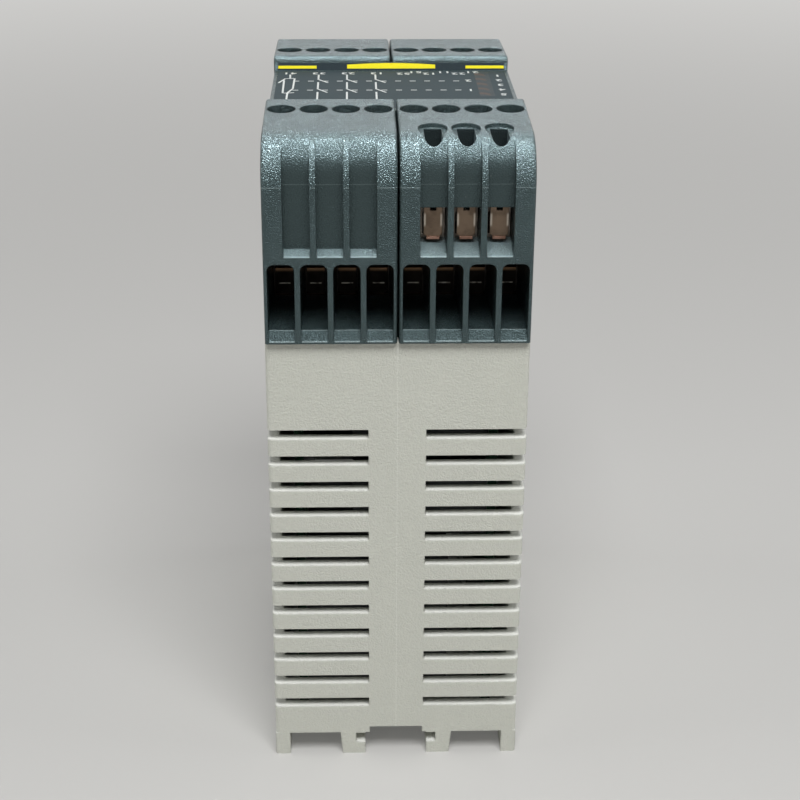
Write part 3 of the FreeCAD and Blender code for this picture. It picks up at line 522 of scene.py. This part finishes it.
def plateFinish(name, look):
    finish = Finish(name)
    z = finish.along("Z")
    brushed, colour, roughness = brushedMetal(finish, name)
    step = (abs(finish.along("X")) - look["middle"]) / poles["pitch"]
    aside = abs((step + 0.5) % 1.0 - 0.5) * poles["pitch"]
    # painted glint on each plate
    paintedGlint = finish.between(aside, *look["sides"], 0.12) * finish.between(z, *look["heights"], look["soft"])
    if "warmReflection" in look:
        # painted warm reflection on the upper end of the plate
        colour = finish.blend(0.8 * finish.rise(z, *look["warmReflectionHeights"]), colour, look["warmReflection"])
        paintedGlint = paintedGlint * finish.rise(finish.noise(0.7, 2.0), 0.36, 0.60, 0.25, 1.0)
    colour = finish.blend(0.8 * paintedGlint, colour, look["paintedGlint"])
    normal = finish.relief(brushed, 0.012, finish.softEdge(look["edge"]))
    return finish.shade(colour, roughness, normal, metal=1.0)


# zinc-plated screws with a rolled thread under the head
screwLook = {
    "bright": (0.55, 0.55, 0.50, 1.0),
    "dull": (0.34, 0.33, 0.29, 1.0),
    "roughness": 0.26,
    "pitch": 0.5,
    "threadDepth": 0.12,
    "lowerThreadTop": 96.4,
    "upperThreadTop": 106.4,
}


def screwFinish(name, look, threadTop):
    finish = Finish(name)
    z = finish.along("Z")
    onShank = finish.fall(z, threadTop - 0.15, threadTop)
    ridge = abs((z / look["pitch"]) % 1.0 * 2 - 1) * onShank
    turned = finish.noise(0.2, 2.0)
    stain = finish.noise(1.2, 3.0)
    colour = finish.blend(stain, look["bright"], look["dull"])
    normal = finish.relief(ridge, look["threadDepth"], finish.softEdge(0.08))
    normal = finish.relief(turned, 0.01, normal)
    return finish.shade(colour, look["roughness"] + 0.25 * stain, normal, metal=1.0)


springSteel = metalFinish("spring_steel")
dress(springSteel, "latch_spring")
dress(metalFinish("clamp_nickel"), "upper_cages")
dress(metalFinish("shaded_nickel"), *ofPlugs("cages"))
dress(metalFinish("contact_copper"), "upper_contacts")
dress(metalFinish("shaded_copper"), *ofPlugs("contacts"))
dress(metalFinish("tinned_pin"), "header_pins")
dress(plateFinish("upper_plate", upperPlate), *ofUpperClamps("upper_plate"))
dress(plateFinish("lower_plate", lowerPlate), *ofPlugs("pressure_plates"))
dress(screwFinish("upper_screw", screwLook, screwLook["upperThreadTop"]), *ofUpperClamps("upper_screw"))
dress(screwFinish("lower_screw", screwLook, screwLook["lowerThreadTop"]), *ofPlugs("screws"))
print("clamps, contacts and screws")

# plain mouldings that show only through the openings: colour, second colour, roughness, grain, depth
innerLooks = {
    "latch_plastic": ((0.020, 0.021, 0.021, 1.0), (0.040, 0.041, 0.040, 1.0), 0.42, 0.35, 0.03),
    "header_plastic": ((0.016, 0.017, 0.017, 1.0), (0.030, 0.031, 0.030, 1.0), 0.48, 0.30, 0.02),
    "relay_case": ((0.030, 0.034, 0.036, 1.0), (0.050, 0.054, 0.056, 1.0), 0.35, 0.40, 0.02),
    "potting_block": ((0.022, 0.023, 0.026, 1.0), (0.045, 0.046, 0.050, 1.0), 0.50, 1.20, 0.06),
    "fuse_case": ((0.025, 0.020, 0.018, 1.0), (0.045, 0.038, 0.034, 1.0), 0.35, 0.40, 0.02),
    "chip_case": ((0.014, 0.014, 0.015, 1.0), (0.028, 0.028, 0.029, 1.0), 0.45, 0.15, 0.01),
}


def mouldedFinish(name):
    first, second, roughness, grain, depth = innerLooks[name]
    finish = Finish(name)
    pits = finish.noise(grain, 2.0)
    cloud = finish.noise(6.0, 3.0)
    colour = finish.blend(0.6 * cloud + 0.3 * pits, first, second)
    return finish.shade(colour, roughness + 0.14 * cloud, finish.relief(pits, depth, finish.softEdge(0.12)))


# fibre board with solder mask, tracks and the weave showing through
boardLook = {
    "mask": (0.010, 0.045, 0.022, 1.0),
    "track": (0.018, 0.075, 0.036, 1.0),
    "roughness": 0.30,
    "pitch": 2.54,
    "wander": 2.2,
    "trackHalf": (0.13, 0.17),   # as shares of the pitch
    "weave": 0.45,
    "relief": 0.03,
}


def boardFinish(look):
    finish = Finish("board_laminate")
    y, z = finish.along("Y"), finish.along("Z")
    wander = finish.noise(7.0, 1.0) * look["wander"]
    line = abs(((y + wander) / look["pitch"]) % 1.0 - 0.5)
    track = finish.fall(line, *look["trackHalf"])
    weave = abs((y / look["weave"]) % 1.0 - 0.5) + abs((z / look["weave"]) % 1.0 - 0.5)
    shown = track * finish.rise(finish.noise(5.0, 1.0), 0.45, 0.5)
    colour = finish.blend(shown, look["mask"], look["track"])
    normal = finish.relief(track + 0.15 * weave, look["relief"], finish.softEdge(0.1))
    return finish.shade(colour, look["roughness"] + 0.08 * weave, normal)


# sleeve of the electrolytic capacitors with a paler stripe down one side
canLook = {
    "sleeve": (0.012, 0.014, 0.030, 1.0),
    "stripe": (0.20, 0.21, 0.22, 1.0),
    "stripePlace": (27.9, 31.1),                 # along Y
    "roughness": 0.24,
    "wrinkleStretch": (0.3, 1.0, 1.0),
}


def canFinish(look):
    finish = Finish("capacitor_can")
    stripe = finish.between(finish.along("Y"), *look["stripePlace"], 0.05)
    wrinkle = finish.noise(1.4, 3.0, 0.5, finish.stretched(*look["wrinkleStretch"]))
    colour = finish.blend(stripe * 0.8, look["sleeve"], look["stripe"])
    normal = finish.relief(wrinkle, 0.05, finish.softEdge(0.2))
    return finish.shade(colour, look["roughness"] + 0.15 * wrinkle, normal, coat=0.3, coatRoughness=0.2)


dress(mouldedFinish("latch_plastic"), "din_latch")
dress(mouldedFinish("header_plastic"), *ofPlugs("header"))
dress(mouldedFinish("relay_case"), "relay_1", "relay_2", "relay_3")
dress(mouldedFinish("potting_block"), "mains_transformer")
dress(mouldedFinish("fuse_case"), "fuse")
dress(mouldedFinish("chip_case"), "control_chips", "rectifier")
dress(boardFinish(boardLook), "power_board", "relay_board", "terminal_board_near", "terminal_board_far")
dress(canFinish(canLook), "capacitors")
print("latch, boards and what they carry")


def addFilm(mesh, outline, lift):
    # prism between two flat outlines that lie a film's thickness apart
    low = [mesh.verts.new(point) for point in outline]
    high = [mesh.verts.new(point + lift) for point in outline]
    mesh.faces.new(high)
    mesh.faces.new(low[::-1])
    for i in range(len(outline)):
        j = (i + 1) % len(outline)
        mesh.faces.new((low[i], low[j], high[j], high[i]))


def addStroke(mesh, start, end, width, level, film):
    # printed line on the foil, from one point to another, with square ends
    a, b = Vector((*start, 0)), Vector((*end, 0))
    along = (b - a).normalized() * width / 2
    across = Vector((-along.y, along.x, 0))
    corners = [a - along - across, b + along - across, b + along + across, a - along + across]
    addFilm(mesh, [(corner + Vector((0, 0, level))) * mm for corner in corners], Vector((0, 0, film * mm)))


def addDot(mesh, look, level):
    (x, y), radius, sides = look["dot"], look["dotRadius"], look["dotSides"]
    turns = [2 * math.pi * i / sides for i in range(sides)]
    ring = [Vector((x + radius * math.cos(t), y + radius * math.sin(t), level)) * mm for t in turns]
    addFilm(mesh, ring, Vector((0, 0, look["film"] * look["dotFilm"] * mm)))


def addNumber(mesh, text, centre, look, level):
    # plain number, read from the far side as on the real label
    letters = bpy.data.curves.new("number", "FONT")
    letters.body = text
    letters.size = look["numberHeight"] / look["capShare"] * mm
    letters.align_x, letters.align_y = "CENTER", "CENTER"
    letters.resolution_u = 4
    letters.offset = look["boldness"] * mm
    letters.space_character = look["spacing"]
    holder = bpy.data.objects.new("number", letters)
    made = bpy.data.meshes.new_from_object(holder)
    turn = Matrix.Rotation(math.pi, 4, "Z") @ Matrix.Diagonal((look["numberStretch"], 1.0, 1.0, 1.0))
    made.transform(Matrix.Translation(Vector((*centre, level)) * mm) @ turn)
    mesh.from_mesh(made)
    bpy.data.objects.remove(holder)
    bpy.data.meshes.remove(made)
    bpy.data.curves.remove(letters)


def asPiece(name, mesh, material):
    data = bpy.data.meshes.new(name)
    mesh.to_mesh(data)
    mesh.free()
    data.materials.append(material)
    piece = bpy.data.objects.new(name, data)
    bpy.context.collection.objects.link(piece)
    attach(piece, "relay_body")
    return piece


# circuit drawing on the foil, places as X and Y on its top face
drawing = {
    "line": 0.34,
    "film": 0.015,
    "makeContacts": (-13.75, -8.42, -3.08),
    "makeStrokes": (((0, 10.9), (0, 7.3)), ((0, 7.3), (1.7, 4.93)), ((0, 4.95), (0, -0.05)),
                    ((0, -0.05), (1.68, -2.53)), ((0, -2.50), (0, -9.6))),
    "breakStrokes": (((-19.11, 11.0), (-19.03, 7.95)), ((-21.04, 4.82), (-19.93, 7.95)),    # two strands
                     ((-20.13, 6.46), (-20.07, -3.08)), ((-19.93, 7.95), (-18.49, 8.2)),
                     ((-18.21, 7.94), (-18.31, 0.21)), ((-18.31, 0.21), (-19.26, -3.08)),
                     ((-20.07, -3.08), (-19.21, -3.08)), ((-19.21, -3.08), (-18.15, -2.79)),
                     ((-19.21, -3.08), (-19.25, -9.6))),
    "dot": (-19.21, -3.08),
    "dotRadius": 0.32,
    "dotSides": 20,
    "dotFilm": 1.4,              # as a share of the film, so that nothing lies level
    "linkHeights": (6.04, -0.90),
    "linkStarts": -18.22,
    "linkEnds": 12.0,
    "dashPitch": 2.706,
    "dashLength": 0.76,
    "dashFilm": 0.6,
    "numberHeight": 1.45,
    "capShare": 0.72,            # height of a figure as a share of the font's size
    "numberStretch": 1.2,
    "boldness": 0.05,
    "spacing": 1.15,
    "farNumbers": {"41": (-19.2, 12.2), "33": (-13.72, 12.2), "23": (-8.24, 12.2), "13": (-2.75, 12.2),
                   "52": (2.25, 11.9), "51": (4.5, 13.1), "12": (7.2, 11.9), "11": (9.96, 13.1),
                   "22": (12.66, 11.9), "21": (15.3, 13.1)},
    "nearNumbers": {"42": (-19.2, -11.0), "34": (-13.72, -11.0), "24": (-8.24, -11.0), "14": (-2.75, -11.0),
                    "62": (2.25, -11.6), "61": (4.5, -12.6), "32": (7.2, -11.6), "31": (9.96, -12.6),
                    "82": (12.66, -11.6), "81": (15.3, -12.6)},
    "linkNumbers": {"2": (14.2, 6.3), "1": (14.2, -0.93)},
    "ledNumbers": {"1": (19.95, 10.2), "2": (19.95, 6.6), "3": (19.95, 3.0), "4": (19.95, -0.6),
                   "5": (19.95, -4.2)},
}

# inks: colour, thin colour, size of the thin spots, roughness
inkLooks = {
    "white_ink": ((0.80, 0.82, 0.80, 1.0), (0.50, 0.53, 0.52, 1.0), 0.25, 0.42),
    "yellow_print": ((0.90, 0.80, 0.008, 1.0), (0.80, 0.68, 0.006, 1.0), 0.35, 0.55),
    "dark_print": ((0.012, 0.022, 0.028, 1.0), (0.026, 0.040, 0.048, 1.0), 0.4, 0.70),
}


def inkFinish(name, **fixed):
    full, faint, size, roughness = inkLooks[name]
    finish = Finish(name)
    thin = finish.noise(size, 3.0)
    normal = finish.relief(thin, 0.006, finish.softEdge(0.02))
    return finish.shade(finish.blend(thin, full, faint), roughness + 0.12 * thin, normal, **fixed)


def labelPrint(look):
    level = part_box("label_foil")[1].z / mm
    line, film = look["line"], look["film"]
    mesh = bmesh.new()
    strokes = []
    for x in look["makeContacts"]:
        strokes += [((x + a, b), (x + c, d)) for (a, b), (c, d) in look["makeStrokes"]]
    strokes += look["breakStrokes"]
    for start, end in strokes:
        addStroke(mesh, start, end, line, level, film)
    addDot(mesh, look, level)
    count = int((look["linkEnds"] - look["linkStarts"]) / look["dashPitch"]) + 1
    for y in look["linkHeights"]:
        for i in range(count):
            x = look["linkStarts"] + i * look["dashPitch"]
            addStroke(mesh, (x, y), (x + look["dashLength"], y), line, level, film * look["dashFilm"])
    for group in ("farNumbers", "nearNumbers", "linkNumbers", "ledNumbers"):
        for text, centre in look[group].items():
            addNumber(mesh, text, centre, look, level + film)
    asPiece("label_drawing", mesh, inkFinish("white_ink"))


# yellow bars on the slope at the far end of the hood, over a dark sheet of painted shade
yellowBars = {
    "foot": (14.40, 117.0),      # Y and Z where the slope starts
    "head": (15.30, 118.3),
    "film": 0.02,
    "strip": (-21.6, 21.6, 0.04, 0.99),          # from X to X, from low to high as shares of the slope
    "bars": ((-21.5, -14.2, 0.26, 0.62), (14.2, 21.5, 0.26, 0.62)),
    "middleBar": (-8.4, 8.4, 0.26, 0.76),
    "middleRise": 0.20,          # how far its upper edge bows up
    "middleSteps": 16,
}


def ledgeBars(look):
    foot = Vector((0, *look["foot"])) * mm
    head = Vector((0, *look["head"])) * mm
    up = head - foot
    out = Vector((0, -up.z, up.y)).normalized() * look["film"] * mm

    def onSlope(x, share):
        return foot + up * share + Vector((x * mm, 0, 0))

    def bar(left, right, low, high):
        return [onSlope(left, low), onSlope(right, low), onSlope(right, high), onSlope(left, high)]

    # dark sheet of painted shade on the slope under the far blocks
    strip = bmesh.new()
    addFilm(strip, bar(*look["strip"]), out)
    asPiece("label_strip", strip, inkFinish("dark_print", shine=0.2))
    left, right, low, high = look["middleBar"]
    middle = [onSlope(left, low), onSlope(right, low)]
    for i in range(look["middleSteps"] + 1):
        share = i / look["middleSteps"]
        bow = look["middleRise"] * math.sin(math.pi * share)
        middle.append(onSlope(right + (left - right) * share, high + bow))
    mesh = bmesh.new()
    for outline in [bar(*place) for place in look["bars"]] + [middle]:
        addFilm(mesh, [corner + out for corner in outline], out)
    asPiece("label_bars", mesh, inkFinish("yellow_print", shine=0.2))


labelPrint(drawing)
ledgeBars(yellowBars)
print("label printed")

# spring of the rail latch, wound at rest, though the real one shortens against its post as the latch slides
# out
latchCoil = {
    "start": 24.0,               # Y of its two ends
    "end": 33.5,
    "axisHeight": 3.3,
    "coilRadius": 1.3,
    "wireRadius": 0.25,
    "turns": 7,
    "closedPitch": 0.52,         # of the first and the last turn
    "stroke": 4.0,
    "stepsPerTurn": 28,
    "sides": 10,
}


def windSpring(look):
    first = look["start"] + look["wireRadius"]
    travel = look["end"] - look["wireRadius"] - first
    openPitch = (travel - 2 * look["closedPitch"]) / (look["turns"] - 2)
    mesh = bmesh.new()
    rings = []
    for i in range(look["turns"] * look["stepsPerTurn"] + 1):
        turn = i / look["stepsPerTurn"]
        closed = min(turn, 1) + max(turn - look["turns"] + 1, 0)
        y = first + look["closedPitch"] * closed + openPitch * (turn - closed)
        outward = Vector((math.cos(turn * 2 * math.pi), 0, math.sin(turn * 2 * math.pi)))
        middle = Vector((0, y, look["axisHeight"])) + outward * look["coilRadius"]
        ring = []
        for j in range(look["sides"]):
            angle = 2 * math.pi * j / look["sides"]
            aside = outward * math.cos(angle) + Vector((0, math.sin(angle), 0))
            ring.append(mesh.verts.new((middle + aside * look["wireRadius"]) * mm))
        rings.append(ring)
    for ring, following in zip(rings, rings[1:]):
        for j in range(look["sides"]):
            k = (j + 1) % look["sides"]
            mesh.faces.new((ring[j], ring[k], following[k], following[j])).smooth = True
    mesh.faces.new(rings[0][::-1])
    mesh.faces.new(rings[-1])
    bmesh.ops.recalc_face_normals(mesh, faces=mesh.faces)
    coil = asPiece("latch_coil", mesh, springSteel)
    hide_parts("latch_spring")
    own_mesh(coil)


windSpring(latchCoil)
print("latch spring wound")

# floor and light, places in metres
studio = {
    "floorColour": (0.555, 0.55, 0.535, 1.0),
    "floorPatches": (0.53835, 0.5335, 0.51895, 1.0),
    "floorSize": 4.0,
    "floorHaze": (0.15, 0.94),   # share of the floor that shows plain, near the relay and far off
    "hazeReach": (180.0, 900.0),                 # from there to there, in mm
    "hazeColour": (0.665, 0.66, 0.645, 1.0),
    "surround": 0.15,            # how brightly the room lights the relay
    "backdrop": 0.74,            # and how bright it looks
    "lamps": {                   # place, what it points at, size across and along, watts
        "front_lamp": ((0.06, -0.44, 0.78), (0.0, -0.02, 0.09), (0.50, 0.34), 6.4),
        "back_panel": ((0.0, 1.00, 0.62), (0.0, 0.0, 0.09), (1.60, 0.70), 2.0),
        "left_panel": ((-0.95, 0.0, 0.55), (0.0, 0.0, 0.09), (0.50, 1.20), 2.4),
        "right_panel": ((0.95, 0.0, 0.55), (0.0, 0.0, 0.09), (0.50, 1.20), 2.4),
        "glint_lamp": ((0.0, 0.01, 0.78), (0.0, -0.04, 0.11), (0.24, 0.14), 16.5),
    },
    "sparkle": "glint_lamp",     # lights nothing but the gloss of the blocks' rough corners
}


def seenDirectly(finish):
    # 1 where the camera sees a thing itself or in metal or glass
    names = ("Is Camera Ray", "Is Glossy Ray", "Is Transmission Ray")
    camera, glossy, clear = (finish.add("ShaderNodeLightPath", output=name) for name in names)
    return finish.add("ShaderNodeClamp", {}, [camera + glossy + clear, 0.0, 1.0])


def hazeOver(finish, surface, look):
    # lifts the floor towards a plain pale tone and keeps the relay's shadow on it
    haze = finish.add("ShaderNodeEmission", {}, {"Color": look["hazeColour"], "Strength": 1.0})
    x, y = finish.along("X"), finish.along("Y")
    share = finish.rise((x * x + y * y).root(), *look["hazeReach"], *look["floorHaze"])
    return finish.add("ShaderNodeMixShader", {}, [share * seenDirectly(finish), surface, haze])


def layFloor(look):
    finish = Finish("pale_floor")
    cloud = finish.noise(120.0, 2.0)
    colour = finish.blend(0.4 * cloud, look["floorColour"], look["floorPatches"])
    surface = finish.surface(colour, 0.9, finish.relief(cloud, 0.01, finish.softEdge(0.1)), shine=0.1)
    half = look["floorSize"] / 2
    mesh = bmesh.new()
    corners = ((-half, -half, 0), (half, -half, 0), (half, half, 0), (-half, half, 0))
    mesh.faces.new([mesh.verts.new(corner) for corner in corners])
    data = bpy.data.meshes.new("floor")
    mesh.to_mesh(data)
    mesh.free()
    data.materials.append(finish.close(hazeOver(finish, surface, look)))
    floor = bpy.data.objects.new("floor", data)
    bpy.context.collection.objects.link(floor)


def lightRoom(look):
    room = Finish("room", "worlds")
    strength = look["surround"] + (look["backdrop"] - look["surround"]) * seenDirectly(room)
    light = room.add("ShaderNodeBackground", {}, {"Color": (1, 1, 1, 1), "Strength": strength})
    bpy.context.scene.world = room.close(light, "ShaderNodeOutputWorld")
    for name, (place, aim, size, watts) in look["lamps"].items():
        lamp = bpy.data.lights.new(name, "AREA")
        lamp.shape = "RECTANGLE"
        lamp.size, lamp.size_y = size
        lamp.energy = watts
        holder = bpy.data.objects.new(name, lamp)
        holder.location = place
        towards = Vector(aim) - Vector(place)
        holder.rotation_euler = towards.to_track_quat("-Z", "Y").to_euler()
        bpy.context.collection.objects.link(holder)
    sparkle = bpy.data.objects[look["sparkle"]]
    sparkle.visible_diffuse = False
    blocks = bpy.data.collections.new(look["sparkle"])
    for plug in ofPlugs("plug"):
        blocks.objects.link(nodes[plug])
    sparkle.light_linking.receiver_collection = blocks


# place in metres, focal length in pixels of the photograph, angles in degrees
photoCamera = {
    "place": (-0.007413, -0.306700, 0.192106),
    "focal": 1697.8,
    "photoWidth": 800,
    "sensor": 36.0,
    "nearest": 0.01,
    "pitch": 24.14,
    "yaw": 1.687,
    "roll": -0.335,
}


def aimCamera(look):
    pitch, yaw, roll = (math.radians(look[name]) for name in ("pitch", "yaw", "roll"))
    ahead = Vector((math.sin(yaw) * math.cos(pitch), math.cos(yaw) * math.cos(pitch), -math.sin(pitch)))
    level = Vector((math.cos(yaw), -math.sin(yaw), 0))
    down = ahead.cross(level)
    right = level * math.cos(roll) + down * math.sin(roll)
    below = down * math.cos(roll) - level * math.sin(roll)
    data = bpy.data.cameras.new("photo_camera")
    data.sensor_width = look["sensor"]
    data.lens = look["sensor"] * look["focal"] / look["photoWidth"]
    data.clip_start = look["nearest"]
    camera = bpy.data.objects.new("photo_camera", data)
    turn = Matrix((right, -below, -ahead)).transposed().to_4x4()
    camera.matrix_world = Matrix.Translation(look["place"]) @ turn
    bpy.context.collection.objects.link(camera)
    bpy.context.scene.camera = camera


layFloor(studio)
lightRoom(studio)
aimCamera(photoCamera)
bpy.context.scene.view_settings.view_transform = "Standard"
print("floor, light and camera")
